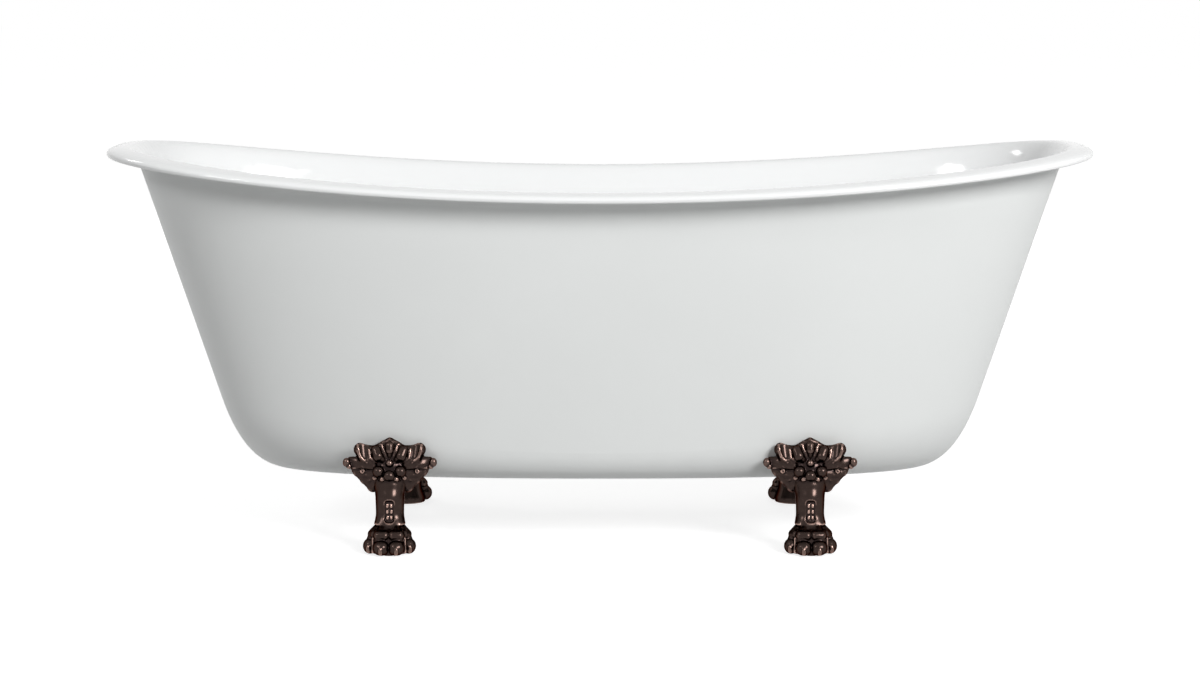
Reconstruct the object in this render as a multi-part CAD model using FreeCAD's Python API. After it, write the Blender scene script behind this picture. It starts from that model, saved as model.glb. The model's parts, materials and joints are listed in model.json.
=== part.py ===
import FreeCAD, Part
import math
import os

# Freestanding cast iron bath on four paw feet, in millimetres.
# Origin on the floor under the middle of the tub, +X along the length, +Y to the rear, +Z up.

Vec = FreeCAD.Vector
X_AXIS = Vec(1, 0, 0)
Z_AXIS = Vec(0, 0, 1)
ORIGIN = Vec(0, 0, 0)
same_point = 0.001  # points closer than this count as one

# Tub
tub_length = 1700.0
tub_width = 740.0
lip_height = 599.0  # lower edge of the lip at mid length
rim_rise = 59.5  # how much higher the lip is at each end
plan_power = 3.0  # superellipse power of the rim and walls seen from above
floor_power = 2.35  # the same for the flat of the tub floor
end_slope = 18.2  # degrees from upright
side_slope = 12.0
wall_foot_side = 165.0  # height at which the side walls start to turn under
wall_foot_end = 238.0
belly_height = 112.0  # underside of the tub above the floor
floor_half_length = 553.0
floor_half_width = 160.0
iron_wall = 7.0
enamel = 1.5
ring_points = 64
wall_samples = 360

# Rolled rim
rim_overhang = 50.0  # lip to outer wall, at the level of the lip
crest_inset = 35.0
crest_rise = 16.0
lip_round = 6.0
hollow_bend = 11.5  # how far inside the lip the hollow under the rim turns down
rim_hollow_drop = 14.0  # how far below the lip the rim hollow runs into the outer wall
inner_turn_drop = 26.0  # how far below the lip the inner wall starts to turn outward

# Feet
foot_x = 355.0
seat_gap = 0.4  # clearance between a foot's crest and the tub wall
crest_thickness = 12.0
crest_half_width = 80.0
crest_peak = 193.0
crest_dip = 178.5
crest_dip_x = 31.0
petal_peak = 184.0
petal_peak_x = 52.0
petal_side_x = 61.4
petal_side_height = 162.0
ogee_share = 0.42
shell_root = 157.0
berry_height = 136.0
wing_scallops = 4
wing_bulge = 3.5
oval_power = 2.3
ear_height = 151.0
ear_low_x = 68.5
ear_low_height = 139.0
leg_half_width = 24.5
leg_top_height = 96.0
leg_center = 14.0  # leg axis outward of the crest's back
ankle_height = 48.0
paw_center = 23.0
paw_half_width = 37.0
paw_half_depth = 39.0
knuckle_height = 33.0
paw_flare = 8.0
ankle_waist = 1.5
ankle_tuck = 2.0  # how far the paw's top runs in under the leg
leg_half_depth = 19.0
knee_flare = 9.0
sole_flat = 0.5  # how far the toe balls are cut flat
toe_radius = 13.0
toe_x = 13.7
toe_reach = 61.0
side_toe_radius = 11.5
side_toe_x = 32.5
side_toe_reach = 35.0
side_toe_lean = 6.0
knuckle_radius = 12.0
side_knuckle_radius = 10.0
instep_radius = 9.5
instep_x = 10.0
bead_radius = 6.5
berry_radius = 9.0
petal_root_radius = 4.0
peak_inset = 12.0  # centre of a petal's tip below its peak
mid_petal_radius = 8.0
mid_petal_root_x = 8.0
mid_petal_x = 19.0
outer_petal_radius = 9.5
outer_petal_root_x = 18.0
ear_radius = 7.5
ear_root_x = 30.0
ear_sink = 4.0
wing_radius = 6.5
wing_root_x = 20.0
wing_tip_x = 50.0
wing_sink = 2.0
panel_width = 15.0
panel_height = 31.0
panel_low = 54.0
panel_proud = 2.0
panel_depth = 8.0
panel_rows = 3
panel_bead_radius = 3.0

# Foot fixing
bolt_inset = 60.0  # bolt axis inward of the crest's back
boss_radius = 18.0
boss_drop = 8.0  # boss face below the tub's underside
boss_draft = 3.0
boss_rise = 24.0  # top of the boss above the tub's underside
tongue_thickness = 12.0
bolt_radius = 6.0
bolt_hole_clearance = 0.75
thread_clearance = 0.05
bolt_thread_depth = 9.0
bolt_hole_spare = 2.0
bolt_head_height = 7.5
bolt_head_flats = 18.0
washer_radius = 12.0
washer_thickness = 2.5

# Levellers
pad_radius = 16.0
pad_thickness = 5.5
pad_lift = 1.0  # pad above the sole when wound in
pad_side_gap = 0.5
pad_top_gap = 0.4
screw_radius = 5.0
screw_length = 40.0
collar_radius = 7.0
collar_thickness = 2.0
pad_floor = 2.0  # pad metal below the collar
swivel_clearance = 0.05
screw_hole_spare = 3.0

# Waste and plug
waste_hole_radius = 26.0
flange_radius = 35.0
flange_thickness = 3.0
tail_radius = 23.9
tail_wall = 3.0
tail_length = 30.5  # below the flange
spigot_radius = 23.4  # plain end of the tail, for the trap
spigot_length = 9.0
gasket_thickness = 1.5
low_gasket_thickness = 3.0
gasket_radius = 33.0
gasket_clearance = 0.3
backnut_height = 8.0
backnut_flats = 64.0
bridge_width = 8.0
bridge_thickness = 4.0
bridge_drop = 17.0  # bridge top below the flange's underside
sleeve_radius = 7.5
sleeve_height = 15.0
sleeve_thread_radius = 4.5
sleeve_end = 1.5  # closed end of the sleeve
stem_radius = 3.5
stem_clearance = 0.05
stem_bottom_gap = 2.0
plug_travel = 9.0
plug_radius = 32.0
plug_edge = 3.0
plug_dome = 4.0
plug_seal_radius = 28.0
plug_seal_width = 6.0
plug_seal_thickness = 3.0
plug_seat_gap = 0.3
plug_boss_radius = 8.0
plug_boss_height = 6.0
plug_thread_gap = 1.0

# Overflow
overflow_drop = 94.0  # overflow's centre below the lip
overflow_hole_radius = 25.0
overflow_seat_gap = 0.2
faceplate_radius = 35.0
faceplate_edge = 4.0
faceplate_dome = 3.0
faceplate_wall = 2.0
faceplate_slots = 6
faceplate_slot_radius = 3.0
faceplate_slot_circle = 20.0
overflow_gasket_thickness = 3.0
elbow_flange_radius = 33.0
elbow_flange_thickness = 3.0
elbow_cup_radius = 23.0
elbow_cup_depth = 36.0
elbow_wall = 2.5
outlet_radius = 16.0
outlet_collar = 1.5
outlet_spigot_length = 30.0
outlet_length = 64.0  # below the overflow's centre
overflow_bar_width = 9.0
overflow_bar_thickness = 4.0
overflow_screw_radius = 2.5
overflow_screw_head = 5.0
overflow_screw_head_height = 2.5

half_length = tub_length / 2
half_width = tub_width / 2
end_tan = math.tan(math.radians(end_slope))
side_tan = math.tan(math.radians(side_slope))
end_cos = math.cos(math.radians(end_slope))
side_cos = math.cos(math.radians(side_slope))


# Rings of points round the tub
def ring(along, across, power, height, rise, count=ring_points):
    points = []
    for k in range(count):
        angle = 2 * math.pi * k / count
        c = math.cos(angle)
        s = math.sin(angle)
        reach = (abs(c) ** power + abs(s) ** power) ** (-1 / power)
        points.append(Vec(along * reach * c, across * reach * s, height + rise * (reach * c) ** 2))
    return points


def rim_ring(inset, lift):
    return ring(half_length - inset, half_width - inset, plan_power, lip_height + lift, rim_rise)


def wall_across(depth, drop):
    """Half width of the wall at mid length, depth inside the outer face and drop below the lip."""
    return half_width - rim_overhang - drop * side_tan - depth / side_cos


def wall_ring(depth, drop_side, drop_end):
    along = half_length - rim_overhang - drop_end * end_tan - depth / end_cos
    low_side = lip_height - drop_side
    low_end = lip_height + rim_rise - drop_end
    return ring(along, wall_across(depth, drop_side), plan_power, low_side, low_end - low_side)


def wall_low_ring(depth):
    return wall_ring(depth, lip_height - wall_foot_side, lip_height + rim_rise - wall_foot_end)


def floor_ring(depth):
    return ring(floor_half_length, floor_half_width, floor_power, belly_height + depth, 0.0)


def level_ring(top, low, height):
    """Where the straight wall lines through top and low reach one height."""
    level = []
    for high_point, low_point in zip(top, low):
        share = (low_point.z - height) / (high_point.z - low_point.z)
        level.append(low_point + (low_point - high_point) * share)
    return level


def ring_curve(points):
    curve = Part.BSplineCurve()
    steps = [k / len(points) for k in range(len(points) + 1)]
    curve.interpolate(Points=points, PeriodicFlag=True, Parameters=steps)
    return curve


def skin(*rings):
    """Closed band: straight between two rings, or curved and steered by the middle one of three."""
    curves = [ring_curve(points) for points in rings]
    poles = [list(row) for row in zip(*[curve.getPoles() for curve in curves])]
    degree = len(rings) - 1
    first = curves[0]
    surface = Part.BSplineSurface()
    surface.buildFromPolesMultsKnots(
        poles, first.getMultiplicities(), [degree + 1, degree + 1],
        first.getKnots(), [0.0, 1.0], True, False, 3, degree)
    return Part.Face(surface)


def flat_cap(points):
    return Part.Face(Part.Wire([ring_curve(points).toShape()]))


def closed_solid(faces):
    sewn = Part.makeCompound(faces)
    sewn.sewShape(same_point)
    solid = Part.Solid(sewn.Shells[0])
    if solid.Volume < 0:
        solid.reverse()
    return solid


def bowl(depth, top):
    """Wall, turn and floor faces that lie depth inside the outer face, under the ring top."""
    low = wall_low_ring(depth)
    flat = floor_ring(depth)
    corner = level_ring(top, low, belly_height + depth)
    return [skin(top, low), skin(low, corner, flat), flat_cap(flat)]


def bowl_and_rim(depth, coat):
    """Bowl, rim top and lip faces that lie depth inside the outer wall, coat below the finished rim."""
    turn = wall_ring(depth, inner_turn_drop, inner_turn_drop)
    above = wall_ring(depth, coat - crest_rise, coat - crest_rise)
    crest = rim_ring(crest_inset, crest_rise - coat)
    shoulder = rim_ring(coat, crest_rise - coat)
    nose = rim_ring(coat, lip_round)
    under = rim_ring(coat, coat)
    edge = rim_ring(lip_round, coat)
    rim = [skin(turn, above, crest), skin(crest, shoulder, nose), skin(nose, under, edge)]
    return bowl(depth, turn) + rim


# Turned solids
def rod(radius, low, high, x=0.0, y=0.0):
    return Part.makeCylinder(radius, high - low, Vec(x, y, low))


def tube(outer, inner, low, high):
    return rod(outer, low, high).cut(rod(inner, low, high))


def turned(profile):
    """Solid turned about Z from a closed list of (radius, height) points."""
    points = [Vec(r, 0, z) for r, z in profile]
    return Part.Face(Part.makePolygon(points + points[:1])).revolve(ORIGIN, Z_AXIS, 360)


def hexagon(flats, low, high):
    corner = flats / math.sqrt(3)
    points = []
    for k in range(7):
        angle = math.radians(60 * k)
        points.append(Vec(corner * math.cos(angle), corner * math.sin(angle), low))
    return Part.Face(Part.makePolygon(points)).extrude(Vec(0, 0, high - low))


def dome(radius, edge, rise):
    """Disc with an upright edge and a domed top, standing on the plane z = 0."""
    top = edge + rise
    crown_radius = (radius ** 2 + rise ** 2) / (2 * rise)
    half_angle = math.asin(radius / crown_radius) / 2
    bend = Vec(math.sin(half_angle), 0, math.cos(half_angle)) * crown_radius + Vec(0, 0, top - crown_radius)
    crown = Part.Arc(Vec(radius, 0, edge), bend, Vec(0, 0, top))
    corners = [Vec(0, 0, top), ORIGIN, Vec(radius, 0, 0), Vec(radius, 0, edge)]
    wire = Part.Wire([crown.toShape()] + Part.makePolygon(corners).Edges)
    return Part.Face(wire).revolve(ORIGIN, Z_AXIS, 360)


def teardrop(start, start_radius, end, end_radius):
    """Two balls and the cone that wraps them, as one turned solid."""
    reach = (end - start).Length
    lean = math.asin((start_radius - end_radius) / reach)
    s = math.sin(lean)
    c = math.cos(lean)
    low_bend_angle = (lean - math.pi / 2) / 2
    high_bend_angle = (lean + math.pi / 2) / 2
    low = Vec(start_radius * c, 0, start_radius * s)
    high = Vec(end_radius * c, 0, reach + end_radius * s)
    low_pole = Vec(0, 0, -start_radius)
    high_pole = Vec(0, 0, reach + end_radius)
    low_bend = Vec(math.cos(low_bend_angle), 0, math.sin(low_bend_angle)) * start_radius
    high_bend = Vec(math.cos(high_bend_angle), 0, math.sin(high_bend_angle)) * end_radius + Vec(0, 0, reach)
    edges = [
        Part.Arc(low_pole, low_bend, low).toShape(),
        Part.LineSegment(low, high).toShape(),
        Part.Arc(high, high_bend, high_pole).toShape(),
        Part.LineSegment(high_pole, low_pole).toShape()]
    solid = Part.Face(Part.Wire(edges)).revolve(ORIGIN, Z_AXIS, 360)
    solid.Placement = FreeCAD.Placement(start, FreeCAD.Rotation(Z_AXIS, end - start))
    return solid


os.makedirs("parts", exist_ok=True)


def export(name, shape):
    shape.exportStep("parts/" + name + ".step")
    print(name, len(shape.Solids), "solid(s)", round(shape.Volume / 1000, 2), "cm3 valid", shape.isValid())


# Tub casting and enamel, before holes
wall_top = wall_ring(0.0, rim_hollow_drop, rim_hollow_drop)
wall_low = wall_low_ring(0.0)
hollow_lift = crest_rise - enamel - iron_wall
hollow_top = rim_ring(crest_inset, hollow_lift)
hollow_in = wall_ring(0.0, -hollow_lift, -hollow_lift)
hollow_out = rim_ring(hollow_bend, hollow_lift)
lip_edge = rim_ring(lip_round, enamel)
lip_bottom = rim_ring(lip_round, 0.0)
rim_hollow = [skin(wall_top, hollow_in, hollow_top), skin(hollow_top, hollow_out, lip_edge)]
tub = closed_solid(bowl(0.0, wall_top) + rim_hollow + bowl_and_rim(iron_wall, enamel))
lining = closed_solid(
    bowl_and_rim(iron_wall + enamel, 0.0) + [skin(lip_edge, lip_bottom)] + bowl_and_rim(iron_wall, enamel))

# Where the feet stand: the crest's back just clears the widest part of the wall behind it
wall_surface = skin(wall_top, wall_low).Surface
wall_reach = 0.0
for k in range(wall_samples):
    high_point = wall_surface.value(k / wall_samples, 0.0)
    low_point = wall_surface.value(k / wall_samples, 1.0)
    share = (crest_peak - low_point.z) / (high_point.z - low_point.z)
    wall_point = low_point + (high_point - low_point) * max(share, 0.0)
    if abs(wall_point.x - foot_x) <= crest_half_width:
        wall_reach = max(wall_reach, wall_point.y)
crest_back = wall_reach + seat_gap
boss_face = belly_height - boss_drop


def at_feet(shape):
    """The shape made at a front foot's place with its crest back at Y = 0, set at all four feet."""
    placed = {}
    for end_name, x in (("left", -foot_x), ("right", foot_x)):
        front = shape.copy()
        front.translate(Vec(x, -crest_back, 0))
        rear = shape.copy()
        rear.rotate(ORIGIN, Z_AXIS, 180)
        rear.translate(Vec(x, crest_back, 0))
        placed["front_" + end_name] = front
        placed["rear_" + end_name] = rear
    return placed


# Foot bosses under the tub, rooted half way into the iron
core_depth = iron_wall / 2
core_low = wall_low_ring(core_depth)
core_top = level_ring(wall_ring(core_depth, rim_hollow_drop, rim_hollow_drop), core_low, lip_height)
core_floor = floor_ring(core_depth)
core_corner = level_ring(core_top, core_low, belly_height + core_depth)
core_sides = [skin(core_top, core_low), skin(core_low, core_corner, core_floor)]
core = closed_solid(core_sides + [flat_cap(core_top), flat_cap(core_floor)])
boss_height = boss_drop + boss_rise
boss = Part.makeCone(boss_radius, boss_radius + boss_draft, boss_height, Vec(0, bolt_inset, boss_face))
tapped_depth = bolt_thread_depth + bolt_hole_spare
tapped_hole = rod(bolt_radius + thread_clearance, boss_face, boss_face + tapped_depth, y=bolt_inset)
for place in at_feet(boss).values():
    tub = tub.fuse(place.cut(core))
for place in at_feet(tapped_hole).values():
    tub = tub.cut(place)


# Foot: a smooth paw with a straight-sided leg rooted in it, and a scalloped crest plate with rounded lobes
def spot(x, out, z):
    return Vec(x, -out, z)


def oval(half_across, half_deep, center, height):
    points = ring(half_across, half_deep, oval_power, height, 0.0, ring_points // 4)
    return Part.Wire([ring_curve([point + spot(0, center, 0) for point in points]).toShape()])


def crest_plate():
    peak = Part.BSplineCurve()
    ogee_x = crest_dip_x * ogee_share
    ogee_z = (crest_peak + crest_dip) / 2
    peak.interpolate([
        spot(-crest_dip_x, 0, crest_dip), spot(-ogee_x, 0, ogee_z), spot(0, 0, crest_peak),
        spot(ogee_x, 0, ogee_z), spot(crest_dip_x, 0, crest_dip)])
    edges = [peak.toShape()]
    for side in (-1, 1):
        corners = [
            (crest_dip_x, crest_dip), (petal_side_x, petal_side_height), (ear_low_x, ear_low_height)]
        bulges = [(petal_peak_x, petal_peak), (crest_half_width, ear_height)]
        for k in range(1, wing_scallops + 1):
            share = k / wing_scallops
            corner_x = ear_low_x + (leg_half_width - ear_low_x) * share
            corner_z = ear_low_height + (leg_top_height - ear_low_height) * share
            last_x, last_z = corners[-1]
            bulges.append(((corner_x + last_x) / 2 + wing_bulge, (corner_z + last_z) / 2 - wing_bulge))
            corners.append((corner_x, corner_z))
        for start, bulge, end in zip(corners, bulges, corners[1:]):
            start, bulge, end = [spot(side * x, 0, z) for x, z in (start, bulge, end)]
            edges.append(Part.Arc(start, bulge, end).toShape())
    low_corners = [spot(side * leg_half_width, 0, leg_top_height) for side in (-1, 1)]
    edges.append(Part.LineSegment(*low_corners).toShape())
    wire = Part.Wire(Part.__sortEdges__(edges))
    return Part.Face(wire).extrude(spot(0, crest_thickness, 0))


def leg_and_paw():
    waist = leg_half_width - ankle_waist
    paw = [
        oval(paw_half_width, paw_half_depth, paw_center, 0.0),
        oval(paw_half_width, paw_half_depth, paw_center, toe_radius),
        oval(waist + paw_flare, leg_half_depth + paw_flare, (paw_center + leg_center) / 2, knuckle_height),
        oval(waist - ankle_tuck, leg_half_depth - ankle_tuck, leg_center, ankle_height)]
    leg = [
        oval(waist, leg_half_depth, leg_center, toe_radius),
        oval(leg_half_width, leg_half_depth, leg_center, leg_top_height),
        oval(leg_half_width + knee_flare, crest_thickness, crest_thickness, berry_height)]
    return [Part.makeLoft(paw, True, False), Part.makeLoft(leg, True, True)]


def lobe(side, x, height, radius, sink=0.0):
    """End ball of a lobe, as the two values that teardrop takes, sunk into the crest's face."""
    return spot(side * x, crest_thickness - sink, height), radius


def crest_lobes():
    face = crest_thickness
    center_root = lobe(1, 0.0, shell_root, petal_root_radius)
    center_tip = lobe(1, 0.0, crest_peak - peak_inset, mid_petal_radius)
    lobes = [
        teardrop(*center_root, *center_tip),
        Part.makeSphere(bead_radius, spot(0, face + bead_radius, shell_root - bead_radius)),
        Part.makeSphere(berry_radius, spot(0, face + berry_radius, berry_height - berry_radius / 2))]
    for side in (-1, 1):
        mid_root = lobe(side, mid_petal_root_x, shell_root, petal_root_radius)
        mid_tip = lobe(side, mid_petal_x, crest_dip - mid_petal_radius, mid_petal_radius)
        outer_root = lobe(side, outer_petal_root_x, shell_root, petal_root_radius)
        outer_tip = lobe(side, petal_peak_x, petal_peak - peak_inset, outer_petal_radius)
        ear_root = lobe(side, ear_root_x, ear_height - ear_radius, petal_root_radius)
        ear_tip = lobe(side, crest_half_width - ear_radius, ear_height, ear_radius, ear_sink)
        wing_root = lobe(side, wing_root_x, berry_height - 2 * berry_radius, wing_radius)
        wing_tip = lobe(side, wing_tip_x, berry_height, wing_radius, wing_sink)
        lobes += [teardrop(*mid_root, *mid_tip), teardrop(*outer_root, *outer_tip)]
        lobes += [teardrop(*ear_root, *ear_tip), teardrop(*wing_root, *wing_tip)]
        berry = spot(side * 2 * berry_radius, face + berry_radius, berry_height)
        lobes.append(Part.makeSphere(berry_radius, berry))
    return lobes


def toes():
    pieces = []
    instep_height = ankle_height - ankle_tuck
    for side in (-1, 1):
        instep = spot(side * instep_x, leg_center + leg_half_depth / 2, instep_height)
        knuckle = spot(side * toe_x, toe_reach - toe_radius, knuckle_height)
        side_instep = spot(side * instep_x, leg_center, instep_height)
        side_knuckle_x = side_toe_x - side_toe_lean
        side_knuckle = spot(side * side_knuckle_x, side_toe_reach - side_toe_lean, knuckle_height)
        toe_ball = spot(side * toe_x, toe_reach, toe_radius - sole_flat)
        side_toe_ball = spot(side * side_toe_x, side_toe_reach, side_toe_radius - sole_flat)
        pieces += [
            Part.makeSphere(toe_radius, toe_ball),
            teardrop(instep, instep_radius, knuckle, knuckle_radius),
            Part.makeSphere(side_toe_radius, side_toe_ball),
            teardrop(side_instep, instep_radius, side_knuckle, side_knuckle_radius)]
    return pieces


def edge_runs_outward(edge):
    start, end = [vertex.Point for vertex in edge.Vertexes]
    return abs(abs(start.y - end.y) - edge.Length) < same_point


def beaded_panel():
    front = leg_center + leg_half_depth
    panel = Part.makeBox(panel_width, panel_depth, panel_height,
                         spot(-panel_width / 2, front + panel_proud, panel_low))
    panel = panel.makeFillet(panel_width / 4, [edge for edge in panel.Edges if edge_runs_outward(edge)])
    pieces = [panel]
    for row in range(panel_rows):
        height = panel_low + panel_height * (row + 0.5) / panel_rows
        for side in (-1, 1):
            bead_center = spot(side * panel_width / 4, front + panel_proud, height)
            pieces.append(Part.makeSphere(panel_bead_radius, bead_center))
    return pieces


def tongue():
    low = boss_face - tongue_thickness
    corner = Vec(-boss_radius, -leg_center, low)
    bar = Part.makeBox(2 * boss_radius, bolt_inset + leg_center, tongue_thickness, corner)
    return [bar, rod(boss_radius, low, boss_face, y=bolt_inset)]


pad_recess = pad_lift + pad_thickness + pad_top_gap
collar_low = pad_lift + pad_floor
screw_top = collar_low + screw_length
foot = crest_plate().multiFuse(leg_and_paw() + crest_lobes() + toes() + beaded_panel() + tongue())
below_floor = Part.makeBox(4 * crest_half_width, 4 * crest_half_width, crest_peak,
                           Vec(-2 * crest_half_width, -2 * crest_half_width, -crest_peak))
foot = foot.cut(below_floor)
foot = foot.cut(rod(bolt_radius + bolt_hole_clearance, 0.0, boss_face, y=bolt_inset))
foot = foot.cut(rod(pad_radius + pad_side_gap, 0.0, pad_recess, y=-paw_center))
foot = foot.cut(rod(screw_radius + swivel_clearance, 0.0, screw_top + screw_hole_spare, y=-paw_center))


# Foot bolts and washers
washer_top = boss_face - tongue_thickness
head_top = washer_top - washer_thickness
bolt = hexagon(bolt_head_flats, head_top - bolt_head_height, head_top)
bolt = bolt.fuse(rod(bolt_radius, head_top, boss_face + bolt_thread_depth))
bolt.translate(Vec(0, bolt_inset, 0))
washer = tube(washer_radius, bolt_radius + bolt_hole_clearance, head_top, washer_top)
washer.translate(Vec(0, bolt_inset, 0))

# Levelling screw, with a collar that turns in the pad
collar_high = collar_low + collar_thickness
screw = rod(screw_radius, collar_low, screw_top).fuse(rod(collar_radius, collar_low, collar_high))
screw.translate(spot(0, paw_center, 0))
socket_low = collar_low - swivel_clearance
socket_top = collar_high + swivel_clearance
pad = rod(pad_radius, pad_lift, pad_lift + pad_thickness)
pad = pad.cut(rod(collar_radius + swivel_clearance, socket_low, socket_top))
pad = pad.cut(rod(screw_radius + swivel_clearance, socket_top, pad_lift + pad_thickness))
pad.translate(spot(0, paw_center, 0))

# Waste fitting, clamped through the tub floor
tub_floor = belly_height + iron_wall + enamel
waste_hole = rod(waste_hole_radius, 0.0, lip_height)
flange_low = tub_floor + gasket_thickness
flange_top = flange_low + flange_thickness
tail_low = flange_low - tail_length
bore_radius = tail_radius - tail_wall
bridge_top = flange_low - bridge_drop
bridge_low = bridge_top - bridge_thickness
low_gasket_low = belly_height - low_gasket_thickness
waste_body = turned([
    (bore_radius, flange_top), (flange_radius - flange_thickness, flange_top),
    (flange_radius, flange_top - flange_thickness / 2), (flange_radius, flange_low),
    (tail_radius, flange_low), (tail_radius, tail_low + spigot_length),
    (spigot_radius, tail_low + spigot_length), (spigot_radius, tail_low), (bore_radius, tail_low)])
bridge = Part.makeBox(2 * bore_radius + tail_wall, bridge_width, bridge_thickness,
                      Vec(-bore_radius - tail_wall / 2, -bridge_width / 2, bridge_low))
bridge = bridge.fuse(rod(sleeve_radius, bridge_low, bridge_top))
waste_body = waste_body.fuse(bridge.cut(rod(sleeve_thread_radius + thread_clearance, bridge_low, bridge_top)))
gasket_bore = tail_radius + gasket_clearance
waste_top_gasket = tube(gasket_radius, gasket_bore, tub_floor, flange_low)
waste_bottom_gasket = tube(gasket_radius, gasket_bore, low_gasket_low, belly_height)
backnut = hexagon(backnut_flats, low_gasket_low - backnut_height, low_gasket_low)
backnut = backnut.cut(rod(tail_radius + thread_clearance, 0.0, low_gasket_low))

# Press-to-open plug, drawn open: the stem slides in the sleeve, the cap drops by its travel to close
sleeve_top = bridge_top + sleeve_height
sleeve = rod(sleeve_radius, bridge_top, sleeve_top).fuse(rod(sleeve_thread_radius, bridge_low, bridge_top))
sleeve_bore_low = bridge_low + sleeve_end
sleeve = sleeve.cut(rod(stem_radius + stem_clearance, sleeve_bore_low, sleeve_top))
seal_low = flange_top + plug_seat_gap + plug_travel
cap_low = seal_low + plug_seal_thickness
stem_low = sleeve_bore_low + stem_bottom_gap + plug_travel
stem_top = cap_low + plug_edge - plug_thread_gap
plug_boss_low = cap_low - plug_boss_height
plug_stem = rod(stem_radius, stem_low, stem_top)
plug_seal = tube(plug_seal_radius, plug_seal_radius - plug_seal_width, seal_low, cap_low)
plug_cap = dome(plug_radius, plug_edge, plug_dome)
plug_cap.translate(Vec(0, 0, cap_low))
plug_cap = plug_cap.fuse(rod(plug_boss_radius, plug_boss_low, cap_low))
plug_cap = plug_cap.cut(rod(stem_radius + thread_clearance, plug_boss_low, stem_top))

# Overflow through the rear wall, made about +Z with z = 0 on the enamel, then tilted square to the wall
wall_thickness = iron_wall + enamel
overflow_height = lip_height - overflow_drop
overflow_place = FreeCAD.Placement(
    Vec(0, wall_across(wall_thickness, overflow_drop), overflow_height),
    FreeCAD.Rotation(X_AXIS, -90 - side_slope))


def on_wall(shape):
    shape.Placement = overflow_place.multiply(shape.Placement)
    return shape


faceplate_depth = faceplate_edge + faceplate_dome
gasket_low = wall_thickness + overflow_seat_gap
gasket_high = gasket_low + overflow_gasket_thickness
bar_high = gasket_high + overflow_bar_thickness
cup_high = gasket_high + elbow_cup_depth
cup_bore = elbow_cup_radius - elbow_wall
faceplate = dome(faceplate_radius, faceplate_edge, faceplate_dome)
hollow_radius = faceplate_radius - faceplate_wall
faceplate = faceplate.cut(dome(hollow_radius, faceplate_edge - faceplate_wall, faceplate_dome))
faceplate = faceplate.cut(rod(overflow_screw_radius + gasket_clearance, 0.0, faceplate_depth))
for k in range(faceplate_slots):
    angle = 2 * math.pi * k / faceplate_slots
    slot_x = faceplate_slot_circle * math.cos(angle)
    slot_y = faceplate_slot_circle * math.sin(angle)
    faceplate = faceplate.cut(rod(faceplate_slot_radius, 0.0, faceplate_depth, slot_x, slot_y))
faceplate.rotate(ORIGIN, X_AXIS, 180)
faceplate.translate(Vec(0, 0, -overflow_seat_gap))
head_low = -overflow_seat_gap - faceplate_depth
overflow_screw = rod(overflow_screw_head, head_low - overflow_screw_head_height, head_low)
overflow_screw = overflow_screw.fuse(rod(overflow_screw_radius, head_low, bar_high))
overflow_gasket = tube(elbow_flange_radius, overflow_hole_radius, gasket_low, gasket_high)
overflow_hole = rod(overflow_hole_radius, -wall_thickness, 2 * wall_thickness)

elbow = rod(elbow_flange_radius, gasket_high, gasket_high + elbow_flange_thickness)
elbow = on_wall(elbow.fuse(rod(elbow_cup_radius, gasket_high, cup_high)))
cup_center = overflow_place.multVec(Vec(0, 0, (gasket_high + elbow_flange_thickness + cup_high) / 2))
outlet_low = overflow_height - outlet_length
spigot_top = outlet_low + outlet_spigot_length
elbow = elbow.fuse(rod(outlet_radius + outlet_collar, spigot_top, cup_center.z, y=cup_center.y))
elbow = elbow.fuse(rod(outlet_radius, outlet_low, spigot_top, y=cup_center.y))
elbow = elbow.cut(on_wall(rod(cup_bore, gasket_high, cup_high - elbow_wall)))
elbow = elbow.cut(rod(outlet_radius - elbow_wall, outlet_low, cup_center.z, y=cup_center.y))
bar = Part.makeBox(2 * cup_bore + elbow_wall, overflow_bar_width, overflow_bar_thickness,
                   Vec(-cup_bore - elbow_wall / 2, -overflow_bar_width / 2, gasket_high))
bar = bar.cut(rod(overflow_screw_radius + thread_clearance, gasket_high, bar_high))
elbow = elbow.fuse(on_wall(bar))
on_wall(overflow_hole)

export("tub_shell", tub.cut(waste_hole).cut(overflow_hole))
export("enamel_lining", lining.cut(waste_hole).cut(overflow_hole))
for place, shape in at_feet(foot).items():
    export("foot_" + place, shape)
for place, shape in at_feet(pad).items():
    export("leveller_pad_" + place, shape)
for place, shape in at_feet(screw).items():
    export("leveller_screw_" + place, shape)
export("foot_bolts", Part.makeCompound(list(at_feet(bolt).values())))
export("foot_washers", Part.makeCompound(list(at_feet(washer).values())))
export("waste_body", waste_body)
export("waste_top_gasket", waste_top_gasket)
export("waste_bottom_gasket", waste_bottom_gasket)
export("waste_backnut", backnut)
export("plug_sleeve", sleeve)
export("plug_stem", plug_stem)
export("plug_cap", plug_cap)
export("plug_seal", plug_seal)
export("overflow_faceplate", on_wall(faceplate))
export("overflow_screw", on_wall(overflow_screw))
export("overflow_gasket", on_wall(overflow_gasket))
export("overflow_elbow", elbow)
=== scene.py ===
# %% [markdown]
# # A cast iron bath on paw feet
# The bath is one iron casting, painted outside and coated inside with white glass enamel. Four feet with
# a bronze finish carry it. The imported model is the frame: it has every piece at its real size, in metres,
# so this script only dresses it.

# %% Load the frame
import json
import math

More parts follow.
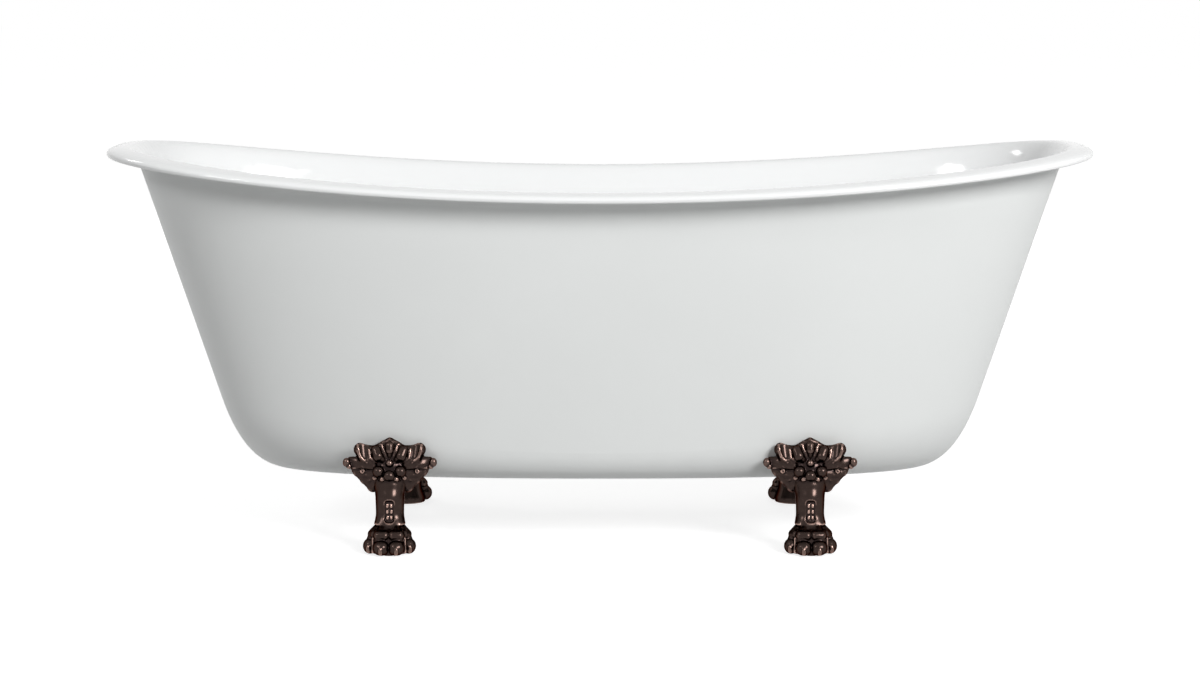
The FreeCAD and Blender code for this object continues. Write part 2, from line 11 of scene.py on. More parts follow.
import bpy
import numpy as np
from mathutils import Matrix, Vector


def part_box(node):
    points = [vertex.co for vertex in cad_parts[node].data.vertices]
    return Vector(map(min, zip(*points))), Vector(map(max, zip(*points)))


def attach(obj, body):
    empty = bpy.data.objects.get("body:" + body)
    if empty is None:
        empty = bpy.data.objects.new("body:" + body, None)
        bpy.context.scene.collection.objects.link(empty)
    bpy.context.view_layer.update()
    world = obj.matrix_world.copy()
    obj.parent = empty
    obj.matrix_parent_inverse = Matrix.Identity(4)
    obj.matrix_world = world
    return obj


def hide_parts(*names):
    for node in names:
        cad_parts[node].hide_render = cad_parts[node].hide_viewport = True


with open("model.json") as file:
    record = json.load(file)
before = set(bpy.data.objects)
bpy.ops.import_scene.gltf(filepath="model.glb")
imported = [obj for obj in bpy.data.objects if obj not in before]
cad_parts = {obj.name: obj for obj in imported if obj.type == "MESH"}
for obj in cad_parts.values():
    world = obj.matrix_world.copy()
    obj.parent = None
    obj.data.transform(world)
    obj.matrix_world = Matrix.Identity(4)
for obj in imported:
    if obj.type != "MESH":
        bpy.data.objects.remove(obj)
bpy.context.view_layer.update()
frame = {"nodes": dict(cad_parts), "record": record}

import openvdb
from mathutils import Vector

MM = 0.001
nodes = frame["nodes"]

# %% [markdown]
# ## The camera
# A product photographer stands well back with a long lens, so that the bath keeps its proportions. The
# distance, the height and the tilt were solved from the two edges of the rim and the four feet in the
# photograph, whose frame is 1200 pixels wide. The focal length is solved in pixels and turned into
# millimetres of a 36 mm sensor.

# %% Camera
photo_width = 1200
focal_pixels = 3193.5
camera_distance = 5.560
camera_height = 1.0329
camera_tilt = math.radians(7.162)

camera_data = bpy.data.cameras.new("photo_camera")
camera_data.sensor_width = 36
camera_data.lens = camera_data.sensor_width * focal_pixels / photo_width
camera = bpy.data.objects.new("photo_camera", camera_data)
camera.location = (0, -camera_distance, camera_height)
camera.rotation_euler = (math.pi / 2 - camera_tilt, 0, 0)
scene = bpy.context.scene
scene.collection.objects.link(camera)
scene.camera = camera
print("Camera: lens", round(camera_data.lens, 1), "mm")

# %% [markdown]
# ## Colours and nodes
# Colours are written as sRGB hex values, as a paint card or a picture editor gives them. Blender mixes
# light in linear values, so one function converts them. A second small function adds a shader node, sets
# it up and links it, so that each material below reads as a list of its nodes.

# %% Helpers for materials
def linear(hex_colour):
    values = [int(hex_colour[k:k + 2], 16) / 255 for k in (0, 2, 4)]
    return [v / 12.92 if v <= 0.04045 else ((v + 0.055) / 1.055) ** 2.4 for v in values] + [1.0]


def add_node(tree, kind, inputs=None, **settings):
    """Adds a node. Each input is a value, or the output socket of another node."""
    node = tree.nodes.new("ShaderNode" + kind)
    for name, value in settings.items():
        setattr(node, name, value)
    for socket, value in (inputs or {}).items():
        if isinstance(value, bpy.types.NodeSocket):
            tree.links.new(value, node.inputs[socket])
        else:
            node.inputs[socket].default_value = value
    return node


def new_material(name):
    """A material with an empty node tree, that tree, and the object's own coordinates in metres."""
    material = bpy.data.materials.new(name)
    material.use_nodes = True
    tree = material.node_tree
    tree.nodes.clear()
    place = add_node(tree, "TexCoord").outputs["Object"]
    return material, tree, place


def per_metre(size_mm):
    """Texture scale for features of this size."""
    return 1 / (size_mm * MM)


print("Mid grey, 808080, is", round(linear("808080")[0], 3), "in linear light")

# %% [markdown]
# ## White vitreous enamel
# The lining is glass, dusted as powder on the red-hot casting, where it melts and flows. It is very
# glossy, with a faint waviness from the flow and a slightly duller film where the bath has been wiped.
# The waviness is a weak bump of about 45 mm, and the wiping is a broad change in roughness.

# %% Enamel
# to the eye: sharp, bright reflections on a clean white body
enamel, tree, place = new_material("gloss_vitreous_enamel")
flow = add_node(tree, "TexNoise", {"Vector": place, "Scale": per_metre(45), "Detail": 1.0})
wiping = add_node(tree, "TexNoise", {"Vector": place, "Scale": per_metre(160), "Detail": 3.0})
film = add_node(tree, "MapRange", {"Value": wiping.outputs["Fac"], "To Min": 0.05, "To Max": 0.13})
waviness = add_node(tree, "Bump", {"Height": flow.outputs["Fac"], "Strength": 0.03, "Distance": 0.002})
glaze = add_node(tree, "BsdfPrincipled", {
    "Base Color": linear("F0F1F1"), "IOR": 1.52,
    "Roughness": film.outputs["Result"], "Normal": waviness.outputs["Normal"]})
add_node(tree, "OutputMaterial", {"Surface": glaze.outputs["BSDF"]})
print("Material:", enamel.name)

# %% [markdown]
# ## Satin paint on smoothed iron
# The outside is ground smooth, primed and sprayed a pale grey. Spray paint dries with a fine orange peel,
# drawn here at 3 mm, coarser than life so that it shows. The iron below keeps a slow unevenness from its
# sand mould.

# %% Paint
# to the eye: a broad, soft sheen that lets the shading of the form show
paint, tree, place = new_material("satin_grey_paint_on_cast_iron")
peel = add_node(tree, "TexNoise", {"Vector": place, "Scale": per_metre(3), "Detail": 2.0})
casting = add_node(tree, "TexNoise", {"Vector": place, "Scale": per_metre(90), "Detail": 1.0})
tone = add_node(tree, "TexNoise", {"Vector": place, "Scale": per_metre(240), "Detail": 2.0})
shade = add_node(tree, "MixRGB", {
    "Fac": tone.outputs["Fac"], "Color1": linear("E0E2E1"), "Color2": linear("E4E6E5")})
sheen = add_node(tree, "MapRange", {"Value": peel.outputs["Fac"], "To Min": 0.40, "To Max": 0.50})
uneven = add_node(tree, "Bump", {"Height": casting.outputs["Fac"], "Strength": 0.05, "Distance": 0.002})
grain = add_node(tree, "Bump", {
    "Height": peel.outputs["Fac"], "Strength": 0.06, "Distance": 0.0004,
    "Normal": uneven.outputs["Normal"]})
coat = add_node(tree, "BsdfPrincipled", {
    "Base Color": shade.outputs["Color"],
    "Roughness": sheen.outputs["Result"], "Normal": grain.outputs["Normal"]})
add_node(tree, "OutputMaterial", {"Surface": coat.outputs["BSDF"]})
print("Material:", paint.name)

# %% [markdown]
# ## Dark bronze on cast iron
# The feet are iron castings with a dark bronze finish that is rubbed back, so that a copper tone shows on
# what stands proud and near-black stays in the hollows. That copper is partly real wear and partly painted
# highlight, laid on stronger than wear alone so that proud places look lit. The mesh of each foot carries
# an attribute that says how far a point stands proud, in millimetres. A mottled noise of 7 mm breaks up
# colour and gloss, as hand rubbing does.

# %% Bronze
# to the eye: deep brown metal, copper on proud edges: partly rubbed wear, partly painted highlight
bronze, tree, place = new_material("rubbed_bronze_and_painted_highlight_on_cast_iron")
mottle = add_node(tree, "TexNoise", {"Vector": place, "Scale": per_metre(7), "Detail": 4.0})
sand = add_node(tree, "TexNoise", {"Vector": place, "Scale": per_metre(1.4), "Detail": 2.0})
proud = add_node(tree, "Attribute", attribute_name="proud_mm")
hollow = add_node(tree, "MapRange", {"Value": proud.outputs["Fac"], "From Min": -0.5, "From Max": 0.0})
# copper on what stands proud: partly rubbed wear, partly painted highlight
copper_wear_and_highlight = add_node(tree, "MapRange", {"Value": proud.outputs["Fac"], "From Min": 0.24, "From Max": 0.75})
patina = add_node(tree, "MixRGB", {
    "Fac": mottle.outputs["Fac"], "Color1": linear("332926"), "Color2": linear("3D322E")})
aged = add_node(tree, "MixRGB", {
    "Fac": hollow.outputs["Result"], "Color1": linear("292120"), "Color2": patina.outputs["Color"]})
# the light copper on proud places is part wear and part painted highlight
colour = add_node(tree, "MixRGB", {
    "Fac": copper_wear_and_highlight.outputs["Result"], "Color1": aged.outputs["Color"], "Color2": linear("AE9186")})
gloss = add_node(tree, "MapRange", {"Value": mottle.outputs["Fac"], "To Min": 0.17, "To Max": 0.26})
skin = add_node(tree, "Bump", {"Height": sand.outputs["Fac"], "Strength": 0.04, "Distance": 0.0005})
metal = add_node(tree, "BsdfPrincipled", {
    "Base Color": colour.outputs["Color"], "Metallic": 1.0, "Specular Tint": linear("9A7E74"),
    "Roughness": gloss.outputs["Result"], "Normal": skin.outputs["Normal"]})
add_node(tree, "OutputMaterial", {"Surface": metal.outputs["BSDF"]})
print("Material:", bronze.name)

# %% [markdown]
# ## The fittings
# The plug, the waste flange and the overflow plate are chromed brass. The back nut and the overflow elbow
# are bare turned brass. Bolts and levelling screws are zinc plated steel, the levelling pads are moulded
# nylon and the gaskets are rubber. Each is the same small recipe, a pattern that changes the gloss and
# raises a bump, so one loop makes them from a row of facts: colour, metallic, roughness from and to,
# pattern size, bump.

# %% Metals and plastics of the fittings
fittings = {
    # plated and buffed: a clear mirror, with a faint haze from wiping
    "chrome": ("polished_chrome_on_brass", "C9CBCD", 1.0, (0.04, 0.10), 9.0, 0.01),
    # turned on a lathe and left bare: soft yellow glints, with tool marks drawn coarser than life to show
    "brass": ("turned_brass", "B09A68", 1.0, (0.28, 0.42), 1.2, 0.08),
    # plated in a zinc bath: a pale grey metal with cloudy spots
    "zinc_steel": ("zinc_plated_steel", "A6A9AB", 1.0, (0.30, 0.48), 4.0, 0.05),
    # moulded in a sparked steel tool: black, with an even grain that spreads the light
    "nylon": ("moulded_black_nylon", "1D1D1E", 0.0, (0.45, 0.60), 0.8, 0.10),
    # pressed and cured: the dullest black of all, which barely shines
    "rubber": ("moulded_black_rubber", "191A1B", 0.0, (0.62, 0.80), 1.0, 0.12),
}
finish = {"enamel": enamel, "exterior_paint": paint, "bronzed_iron": bronze}
for slot, (name, hex_colour, metallic, (dull_low, dull_high), size_mm, bump) in fittings.items():
    finish[slot], tree, place = new_material(name)
    pattern = add_node(tree, "TexNoise", {"Vector": place, "Scale": per_metre(size_mm), "Detail": 3.0})
    shape = pattern.outputs["Fac"]
    dull = add_node(tree, "MapRange", {"Value": shape, "To Min": dull_low, "To Max": dull_high})
    raised = add_node(tree, "Bump", {"Height": shape, "Strength": bump, "Distance": 0.0005})
    surface = add_node(tree, "BsdfPrincipled", {
        "Base Color": linear(hex_colour), "Metallic": metallic,
        "Roughness": dull.outputs["Result"], "Normal": raised.outputs["Normal"]})
    add_node(tree, "OutputMaterial", {"Surface": surface.outputs["BSDF"]})
    print("Material:", name)

# %% [markdown]
# ## Dressing the frame
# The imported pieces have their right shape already, so they stay and only get their finish. Each could be
# named here in a long list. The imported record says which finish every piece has, so a loop hands them out
# instead.

# %% Dress the pieces of the frame
for subpart in frame["record"]["subparts"]:
    for material_slot in nodes[subpart["node"]].material_slots:
        material_slot.material = finish[subpart["material_slot"]]

# %% [markdown]
# ## The paw feet
# Each foot is one small casting: a shell crest with curled side leaves, a bead and a cluster of berries,
# leaf wings, a leg with a beaded strip, and a lion's paw. It could be sculpted by hand. Here it is carved
# in code, as a pattern maker builds it up in wax: a grid holds the distance to the surface, and each form
# is pressed on or cut away with a small fillet. The foot is symmetric, so one half is carved. Sizes are
# in millimetres: x from the middle, out towards the front of the foot, with the crest's flat back at
# nought, and z up from the floor.

# %% The block of clay
voxel = 0.9
spare_cells = 5
# from and to in x, out and z
clay_box = ((0.0, 84.0), (-81.0, 78.0), (-3.6, 196.2))
axes = [np.arange(low, high, voxel, dtype=np.float32) for low, high in clay_box]
far_away = 50.0


def clay():
    return np.full([len(axis) for axis in axes], far_away, np.float32)


def around(low, high, margin):
    """The part of the grid round a form, as slices and as coordinates."""
    margin = margin + spare_cells * voxel
    spans = [slice(*np.searchsorted(axis, (a - margin, b + margin))) for axis, a, b in zip(axes, low, high)]
    return tuple(spans), np.meshgrid(*[axis[span] for axis, span in zip(axes, spans)], indexing="ij")


def weigh(name, field):
    """Prints the volume of a carved half and its mirror image."""
    print(name + ":", round(2 * int((field < 0).sum()) * voxel ** 3 / 1000), "cubic centimetres")


def press(field, spans, distance, blend, cut=False):
    """Presses a form onto the clay, or cuts it away, with a fillet about as wide as blend."""
    old = -field[spans] if cut else field[spans]
    # a smooth minimum: close to the seam, the two distances melt into one
    share = np.clip(0.5 + (old - distance) / (2 * blend), 0, 1)
    made = old + (distance - old) * share - blend * share * (1 - share)
    field[spans] = -made if cut else made


print("Clay:", " x ".join(str(len(axis)) for axis in axes), "cells for half a foot")

# %% [markdown]
# Two tools do most of the carving. A lobe is a run of balls along a line, flattened front to back for
# leaves. An egg is for berries and toes, and a ball of known volume tests it.

# %% Lobe and egg
def lobe(field, points, radii, blend, flat=1.0, cut=False):
    points = np.array(points, float)
    spans, grids = around(points.min(0), points.max(0), max(radii) * max(flat, 1) + blend)
    squash = np.array([1, 1 / flat, 1])
    nearest = np.full(grids[0].shape, far_away, np.float32)
    for start, end, r0, r1 in zip(points, points[1:], radii, radii[1:]):
        run = (end - start) * squash
        offset = [(g - s) * k for g, s, k in zip(grids, start, squash)]
        along = np.clip(sum(d * r for d, r in zip(offset, run)) / (run @ run), 0, 1)
        gap = sum((d - along * r) ** 2 for d, r in zip(offset, run)) ** 0.5
        nearest = np.minimum(nearest, gap - (r0 + along * (r1 - r0)))
    press(field, spans, nearest, blend, cut)


def egg(field, center, radii, blend, cut=False):
    center, radii = np.array(center, float), np.array(radii, float)
    spans, grids = around(center - radii, center + radii, blend)
    near = sum(((g - c) / r) ** 2 for g, c, r in zip(grids, center, radii)) ** 0.5
    steep = sum(((g - c) / r ** 2) ** 2 for g, c, r in zip(grids, center, radii)) ** 0.5
    press(field, spans, near * (near - 1) / np.maximum(steep, 1e-6), blend, cut)


test_ball = clay()
egg(test_ball, (0, 0, 90), (30, 30, 30), 0.5)
weigh("A test ball of 113 cubic centimetres measures", test_ball)

# %% [markdown]
# A block and an upright post make what the workshop files and drills: the beaded strip and its recess,
# the flat tongue and the bores. The post is tested in the same way.

# %% Block and post
def block(field, low, high, rounding, blend, cut=False):
    low, high = np.array(low, float), np.array(high, float)
    spans, grids = around(low, high, blend)
    center, half = (low + high) / 2, (high - low) / 2 - rounding
    over = [np.abs(g - c) - h for g, c, h in zip(grids, center, half)]
    outside = sum(np.maximum(o, 0) ** 2 for o in over) ** 0.5
    press(field, spans, outside + np.minimum(np.maximum.reduce(over), 0) - rounding, blend, cut)


def post(field, out_center, radius, low, high, blend, cut=False):
    corners = (-radius, out_center - radius, low), (radius, out_center + radius, high)
    spans, (x, out, z) = around(*corners, blend)
    side = np.hypot(x, out - out_center) - radius
    press(field, spans, np.maximum(side, np.maximum(low - z, z - high)), blend, cut)


test_post = clay()
post(test_post, 0, 30, 60, 120, 0.5)
weigh("A test post of 170 cubic centimetres measures", test_post)

# %% [markdown]
# The crest starts as one flat sheet behind everything: the shell, the ears and the wings. Three leaf
# fingers give the wing its scalloped lower edge, and a rolled edge runs along the top.

# %% Crest sheet and wings
crest = clay()
lobe(crest, [(0, 3, 148), (0, 3, 170)], [36, 18], 5, 0.3)
lobe(crest, [(0, 3, 172), (0, 3, 186)], [16, 6], 5, 0.5)
lobe(crest, [(0, 3, 150), (30, 3, 160), (45, 3, 166)], [22, 15, 13], 4, 0.5)
lobe(crest, [(20, 3, 146), (66, 3, 150)], [16, 9], 4, 0.5)
lobe(crest, [(0, 3, 128), (30, 3, 128), (58, 3, 141)], [26, 17, 8], 4, 0.45)
lobe(crest, [(58, 2, 136), (29, 2, 106)], [6.6, 7.2], 3, 0.9)
for tip_x, tip_z in ((56, 133), (44, 120), (32, 107)):
    lobe(crest, [(18, 7, 130), (tip_x, 4, tip_z)], [10, 6.3], 2.5, 0.8)
lobe(crest, [(0, 5, 187.4), (11, 5, 183.5), (22, 5, 176.5), (31, 4.5, 174)], [5, 4.4, 4.4, 4.6], 4)
lobe(crest, [(31, 4.5, 174), (42, 5, 176), (51.5, 5, 177.5)], [4.6, 5.4, 6.3], 4)
lobe(crest, [(0, 5, 150), (0, 5, 174)], [26, 15], 3, 0.3)
weigh("Sheet of the crest", crest)

# %% [markdown]
# On the sheet lie the petals of the shell. The outer one is curled, a thick lobe hollowed by a larger
# one, with a thin lobe along its edge as the rim. Towards the middle follow a rib, a full petal, a slim
# rib and a last petal.

# %% Petals
lobe(crest, [(24, 9, 149), (43, 9.5, 160), (50, 7, 173)], [5, 10.5, 11], 1.2, 0.9)
lobe(crest, [(33, 25, 155), (39, 25.5, 166), (41, 20, 184)], [6, 12, 13], 1.2, cut=True)
curled_edge = [(54, 11, 181.2), (53.5, 14.5, 172), (49.5, 16, 162), (38, 15.5, 152)]
lobe(crest, curled_edge, [1.8, 2.6, 2.5, 1.5], 1.2)
lobe(crest, [(23, 13, 151.5), (33, 14.5, 160), (35, 11, 173)], [2.2, 2.8, 2.2], 0.9)
lobe(crest, [(8, 11, 153), (19.5, 12.5, 162.5), (23, 8, 171)], [4.5, 9.8, 9.6], 1.6)
lobe(crest, [(5, 11.5, 158), (9.5, 12, 169), (13.5, 8.5, 181)], [1.8, 2.4, 2.0], 1.8)
lobe(crest, [(0, 11, 160), (0, 11, 172), (0, 8.5, 179)], [3.5, 7.6, 8.2], 1.4)
weigh("Crest with its petals", crest)

# %% [markdown]
# Beside the shell an ear of leaf reaches outwards and ends in a bud. Three lobes, stepped upwards and
# back, give it a broad face that tilts up and catches the light. Veins run along the fingers of the wing,
# with a small scroll between them that has a drilled eye. Thin lobes make the veins, as threads of wax
# would.

# %% Ears, veins and scrolls
for step in range(3):
    rise, fall = 3.4 * step, 1.3 * step
    ridge = [(28, 12 - fall, 143.5 + rise), (45, 10.5 - fall, 146 + rise), (67, 1 - fall, 148.5 + rise)]
    lobe(crest, ridge, [4.5, 5.0, 5.0], 3)
egg(crest, (73, 7.5, 151), (6.6, 6.6, 7.8), 0.9)
egg(crest, (69, 8, 144.5), (4.8, 4.8, 4.8), 0.9)
for start, middle, tip in (((24, 137.5), (44, 143), (62, 141.5)), ((24, 131), (40, 131), (55, 132)),
                           ((23, 126), (34, 122.5), (43, 119.5)), ((21, 121), (27, 113), (31, 106.5))):
    line = [(start[0], 10.2, start[1]), (middle[0], 9.6, middle[1]), (tip[0], 7.0, tip[1])]
    lobe(crest, line, [1.8, 2.3, 1.7], 2.2)
egg(crest, (46, 9.5, 136.5), (5.2, 5.0, 4.8), 1.0)
egg(crest, (46, 15, 136.5), (2.2, 2.4, 2.2), 0.6, cut=True)
weigh("Crest with ears and veins", crest)

# %% [markdown]
# A bead sits under the shell, and a cluster of berries hangs over the top of the leg. Where round forms
# meet, small pockets of air stay shut in behind them. A drop of wax fills each, so that the casting is
# solid and its mesh has no loose faces inside.

# %% Bead and berries
egg(crest, (0, 17.5, 151), (6.5, 6.6, 6.5), 0.5)
egg(crest, (18.6, 21.5, 137.5), (10.2, 10.0, 10.0), 0.7)
egg(crest, (0, 26, 131), (10.2, 9.6, 9.6), 0.7)
egg(crest, (11.2, 26, 125.5), (5.0, 5.0, 4.8), 0.7)
egg(crest, (24.4, 19.5, 127), (5.0, 5.0, 4.8), 0.7)
for pocket in ((33, 10, 167.4), (23.4, 12.6, 141.4), (13.4, 22.4, 128.6), (9, 21.2, 133.2)):
    egg(crest, pocket, (2.0, 2.0, 2.4), 0.3)
# the back of the crest is planed flat
out, z = np.meshgrid(*axes, indexing="ij")[1:]
crest = np.maximum(crest, -out)
weigh("Crest with bead and berries", crest)

# %% [markdown]
# The leg is a column that runs up under the berries, with a soft swelling for the knee. Its lower edge
# flares to the front like a cuff and ends sharply. The beaded strip lies in a shallow recess with a round
# top.

# %% Leg
cuff_edge = 48.5
leg = clay()
lobe(leg, [(0, 14, 40), (0, 14, 90), (0, 11.5, 110)], [23.2, 24.4, 23.6], 4, 0.8)
egg(leg, (0, 14, 93), (20, 20.8, 18), 6)
lobe(leg, [(0, 11, 110), (0, 8, 132)], [25, 26], 8, 0.45)
lobe(leg, [(0, 29, 44), (14, 27.5, 44)], [9.5, 9.5], 20)
leg = np.maximum(leg, cuff_edge - z)
block(leg, (-9.4, 29.8, 52), (9.4, 50, 90.5), 7, 1.0, cut=True)
block(leg, (-7.0, 24, 54.5), (7.0, 31.8, 87.5), 3.5, 0.6)
for row in range(3):
    egg(leg, (3.2, 31.8, 60 + 10.2 * row), (2.7, 2.0, 4.2), 0.7)
weigh("Leg", leg)

# %% [markdown]
# The paw spreads from under the cuff. Each toe has a tendon, a broad knuckle and, under one straight
# crease, a full toe pad. Thin ribs stand between the front and the side toes.

# %% Paw
paw = clay()
lobe(paw, [(0, 14, 6), (0, 14, 40)], [30, 22], 5)
lobe(paw, [(0, 14, 36), (0, 14, 50)], [25.0, 22.8], 5, 0.78)
lobe(paw, [(0, 20, 8), (0, 22, 34)], [33, 22], 6)
lobe(paw, [(0, 47.5, 9), (0, 41, 31)], [14.4, 12], 4)
lobe(paw, [(9, 26, 45), (12.5, 42, 35.5)], [9.6, 9.8], 3)
lobe(paw, [(7.0, 50, 33), (17.4, 48.5, 33)], [8.8, 8.8], 1.6, 1.1)
egg(paw, (13, 50, 24), (11.5, 8.5, 9), 1.5)
lobe(paw, [(11.4, 58, 13.4), (14.6, 57.4, 13.4)], [12.8, 12.6], 0.9, 1.05)
lobe(paw, [(16, 18, 43), (25, 28, 35)], [9, 9.2], 3)
lobe(paw, [(24.6, 33, 32.5), (29, 28, 32)], [8.6, 8.2], 1.6, 1.3)
egg(paw, (29, 31, 24), (9.6, 8.6, 8.8), 1.5)
egg(paw, (32.6, 34.5, 13), (12.2, 13.4, 13.4), 0.9)
lobe(paw, [(22, 42, 39), (26.4, 48.5, 28), (27.2, 51, 5)], [1.7, 2.2, 2.0], 1.0)
for toe_x, toe_out in ((13.2, 69), (35, 46)):
    egg(paw, (toe_x, toe_out, 10), (4.2, 4.4, 7.5), 0.7)
press(paw, ..., leg, 0.9)
# the back of the leg is planed flat too, and leans forward from the height of the tongue upwards
back_depth, lean_from, lean = 16, 96, 1 / 8
paw = np.maximum(paw, np.maximum(z - lean_from, 0) * lean - back_depth - out)
weigh("Paw and leg", paw)

# %% [markdown]
# Last, the foot gets what fastens it: a flat tongue at the back for the bolt into the bath, and under the
# paw the recess and the bore for the levelling screw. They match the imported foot, whose pieces fit into
# them.

# %% Tongue and bores
tongue_reach = 78.0
tongue_half_width = 18.0
tongue_low, tongue_high = 92.0, 104.0
bolt_out = tongue_half_width - tongue_reach
bolt_hole_radius = 6.75
bolt_drill_low, bolt_drill_high = 80.0, 120.0
pad_out = 23.0
pad_recess_radius, pad_recess_top = 16.6, 6.9
screw_bore_radius, screw_bore_top = 5.3, 46.0
below_floor = -5.0
drill_edge = 0.2

press(paw, ..., crest, 3.0)
block(paw, (-tongue_half_width, bolt_out, tongue_low), (tongue_half_width, 14, tongue_high), 0.6, 0.5)
post(paw, bolt_out, tongue_half_width, tongue_low, tongue_high, 0.5)
paw = np.maximum(paw, -z)
post(paw, bolt_out, bolt_hole_radius, bolt_drill_low, bolt_drill_high, drill_edge, cut=True)
post(paw, pad_out, pad_recess_radius, below_floor, pad_recess_top, drill_edge, cut=True)
post(paw, pad_out, screw_bore_radius, below_floor, screw_bore_top, drill_edge, cut=True)
weigh("Whole foot", paw)

# %% [markdown]
# The zero level of the grid becomes a closed mesh of quads, the carved half together with its mirror
# image. Flat places need fewer faces than the carving, so a Decimate modifier thins them out.

# %% Mesh of the foot
kept_share = 0.28
whole_foot = np.concatenate([paw[:0:-1], paw])
grid_corner = np.array([-axes[0][-1], axes[1][0], axes[2][0]])
# out towards the front of the bath is -Y in Blender
to_blender = (MM, -MM, MM)

grid = openvdb.FloatGrid(far_away)
grid.copyFromArray(np.ascontiguousarray(whole_foot))
points, quads = grid.convertToQuads(0.0)
points = points * voxel + grid_corner
full_mesh = bpy.data.meshes.new("paw_foot")
full_mesh.from_pydata((points * to_blender).tolist(), [], quads[:, ::-1].tolist())
carved = bpy.data.objects.new("paw_foot_carved", full_mesh)
scene.collection.objects.link(carved)
thin_out = carved.modifiers.new("thin_out", "DECIMATE")
thin_out.ratio = kept_share
thinned = carved.evaluated_get(bpy.context.evaluated_depsgraph_get())
carved_foot = bpy.data.meshes.new_from_object(thinned)
carved_foot.shade_smooth()
bpy.data.objects.remove(carved)
bpy.data.meshes.remove(full_mesh)
print("Foot mesh:", len(quads), "quads, thinned to", len(carved_foot.polygons), "faces")

# %% [markdown]
# The grid also tells how proud each point stands: the mean distance three cells away is more than the
# point's own on a ridge and less in a hollow. The mesh keeps that for the bronze, where it sets the copper
# of rubbed wear and painted highlight, except on the sole, which no hand rubs.

# %% What stands proud
cells_away = 3
steps = (-cells_away, cells_away)
mean_around = sum(np.roll(whole_foot, step, axis) for axis in range(3) for step in steps) / 6
places = np.array([vertex.co for vertex in carved_foot.vertices]) / to_blender
cells = np.rint((places - grid_corner) / voxel).astype(int)
stands_out = (mean_around - whole_foot)[tuple(cells.T)]
sole = places[:, 2] < voxel / 2
proud_mm = carved_foot.attributes.new("proud_mm", "FLOAT", "POINT")
proud_mm.data.foreach_set("value", np.where(sole, 0, stands_out).astype(np.float32))
print("Proud by", round(float(stands_out.min()), 2), "to", round(float(stands_out.max()), 2), "mm")

# %% [markdown]
# All four feet are the same casting. The front pair faces the front of the bath and the rear pair is
# turned round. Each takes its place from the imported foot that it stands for.

# %% Four feet
for place, turn in (("front_left", 0), ("front_right", 0), ("rear_left", math.pi), ("rear_right", math.pi)):
    low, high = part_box("foot_" + place)
    tongue_end = low[1] if turn else high[1]
    mesh = carved_foot.copy()
    mesh.materials.append(bronze)
    foot = bpy.data.objects.new("paw_foot_" + place, mesh)
    scene.collection.objects.link(foot)
    foot.location = ((low[0] + high[0]) / 2, tongue_end + tongue_reach * MM * (1 if turn else -1), 0)
    foot.rotation_euler = (0, 0, turn)
    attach(foot, "bath")
    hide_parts("foot_" + place)
    print("Foot", place, "at", [round(v, 4) for v in foot.location])

# %% [markdown]
# ## Floor and light
# A white sweep would do, but a flat white floor is simpler and has no edge in view. It glows for the
# camera and for reflections alone, so it reads as white paper, and it still takes the shadow of the bath.

# %% Floor
def seen_directly(tree):
    """One where the camera, a reflection or a refraction looks, and nothing for the light on the object."""
    path = add_node(tree, "LightPath")
    seen = path.outputs["Is Camera Ray"]
    for ray in ("Is Glossy Ray", "Is Transmission Ray"):
        seen = add_node(tree, "Math", {0: seen, 1: path.outputs[ray]}, operation="MAXIMUM").outputs["Value"]
    return seen


floor_size = 60.0
# behind the bath the lamps give the floor less light, so the glow grows outwards
glow_near, glow_far = 0.78, 0.88
near_reach, far_reach = 1.0, 6.0

floor_mesh = bpy.data.meshes.new("floor")
half = floor_size / 2
floor_corners = [(-half, -half, 0), (half, -half, 0), (half, half, 0), (-half, half, 0)]
floor_mesh.from_pydata(floor_corners, [], [(0, 1, 2, 3)])
floor = bpy.data.objects.new("floor", floor_mesh)
scene.collection.objects.link(floor)
paper, tree, place = new_material("white_paper")
reach = add_node(tree, "VectorMath", {0: place}, operation="LENGTH")
spread = add_node(tree, "MapRange", {
    "Value": reach.outputs["Value"], "From Min": near_reach, "From Max": far_reach,
    "To Min": glow_near, "To Max": glow_far})
glow = add_node(tree, "Math", {0: seen_directly(tree), 1: spread.outputs["Result"]}, operation="MULTIPLY")
matt = add_node(tree, "BsdfDiffuse", {"Color": linear("B4B4B4")})
lift = add_node(tree, "Emission", {"Strength": glow.outputs["Value"]})
both = add_node(tree, "AddShader", {0: matt.outputs["BSDF"], 1: lift.outputs["Emission"]})
add_node(tree, "OutputMaterial", {"Surface": both.outputs["Shader"]})
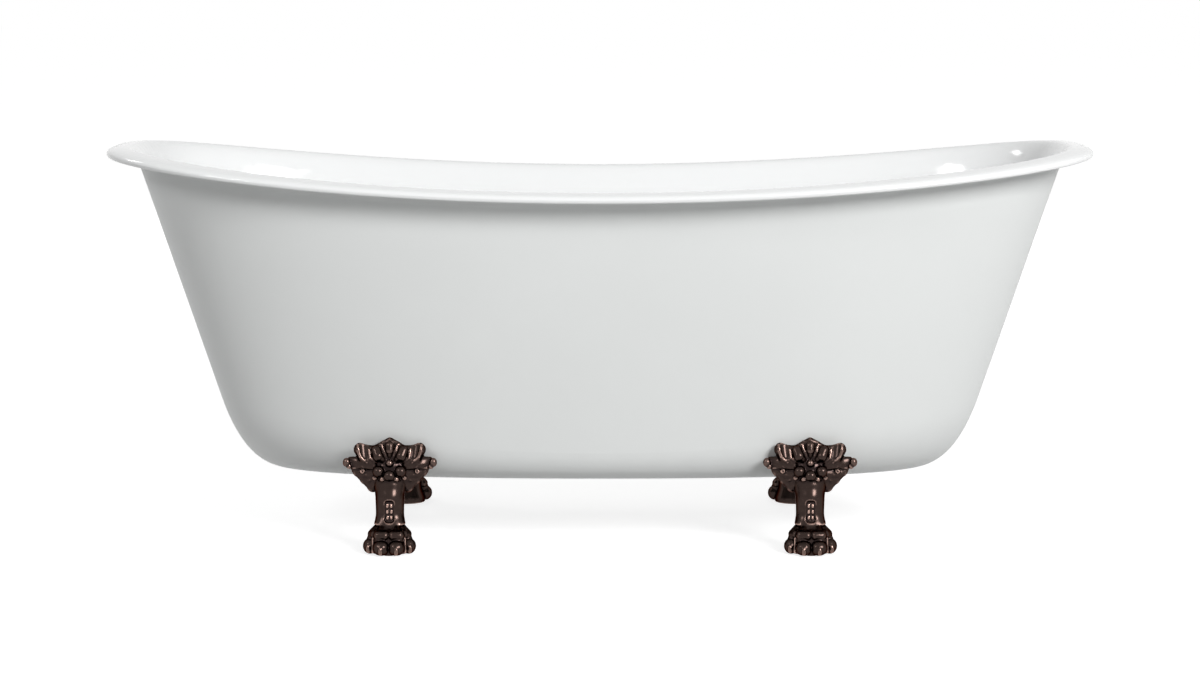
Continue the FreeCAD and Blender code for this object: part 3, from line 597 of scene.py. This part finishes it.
floor_mesh.materials.append(paper)
print("Floor:", floor_size, "m wide")

# %% [markdown]
# The world is the white room beyond the floor. It could be a picture of a studio, but plain white is what
# the photograph shows. As with the floor, it is white to look at and dimmer as a light, so that the lamps
# do the shading.

# %% World
world_light = 0.26
world = bpy.data.worlds.new("white_studio")
world.use_nodes = True
tree = world.node_tree
tree.nodes.clear()
brightness = add_node(tree, "MapRange", {
    "Value": seen_directly(tree), "To Min": world_light, "To Max": 1.0})
sky = add_node(tree, "Background", {
    "Color": linear("FFFFFF"), "Strength": brightness.outputs["Result"]})
add_node(tree, "OutputWorld", {"Surface": sky.outputs["Background"]})
scene.world = world
print("World:", world.name, "with light", world_light)

# %% [markdown]
# Four soft boxes light the bath. The big key stands far off to the front right, so that the side is lit
# evenly and the left end falls into shade. The fill at the front left draws the broad glint on the inside
# of the right end, and the small rim light behind draws the small one. The back box keeps the far side
# from going dark and thins the shadow on the floor. It is hidden from reflections, so that it leaves no
# glint on the rim. Each box is given by its bearing from the front, its height above the horizon, its
# distance, its size and its watts.

# %% Lamps
aim = Vector((0, 0, 0.4))
lamps = {
    "key_box": (35, 25, 7.0, 2.2, 375.0),
    "fill_box": (-45, 31, 5.5, 1.15, 46.0),
    "rim_box": (-120, 40, 4.5, 0.8, 16.0),
    "back_box": (180, 12, 7.0, 2.0, 110.0),
}
for name, (bearing, height, distance, size, watts) in lamps.items():
    lamp_data = bpy.data.lights.new(name, "AREA")
    lamp_data.size = size
    lamp_data.energy = watts
    lamp = bpy.data.objects.new(name, lamp_data)
    turn, rise = math.radians(bearing), math.radians(height)
    towards = Vector((math.sin(turn) * math.cos(rise), -math.cos(turn) * math.cos(rise), math.sin(rise)))
    lamp.location = aim + distance * towards
    lamp.rotation_euler = (-towards).to_track_quat("-Z", "Y").to_euler()
    lamp.visible_glossy = name != "back_box"
    scene.collection.objects.link(lamp)
    print("Lamp:", name, watts, "W at", [round(value, 2) for value in lamp.location])
# colours render as they are written
scene.view_settings.view_transform = "Standard"
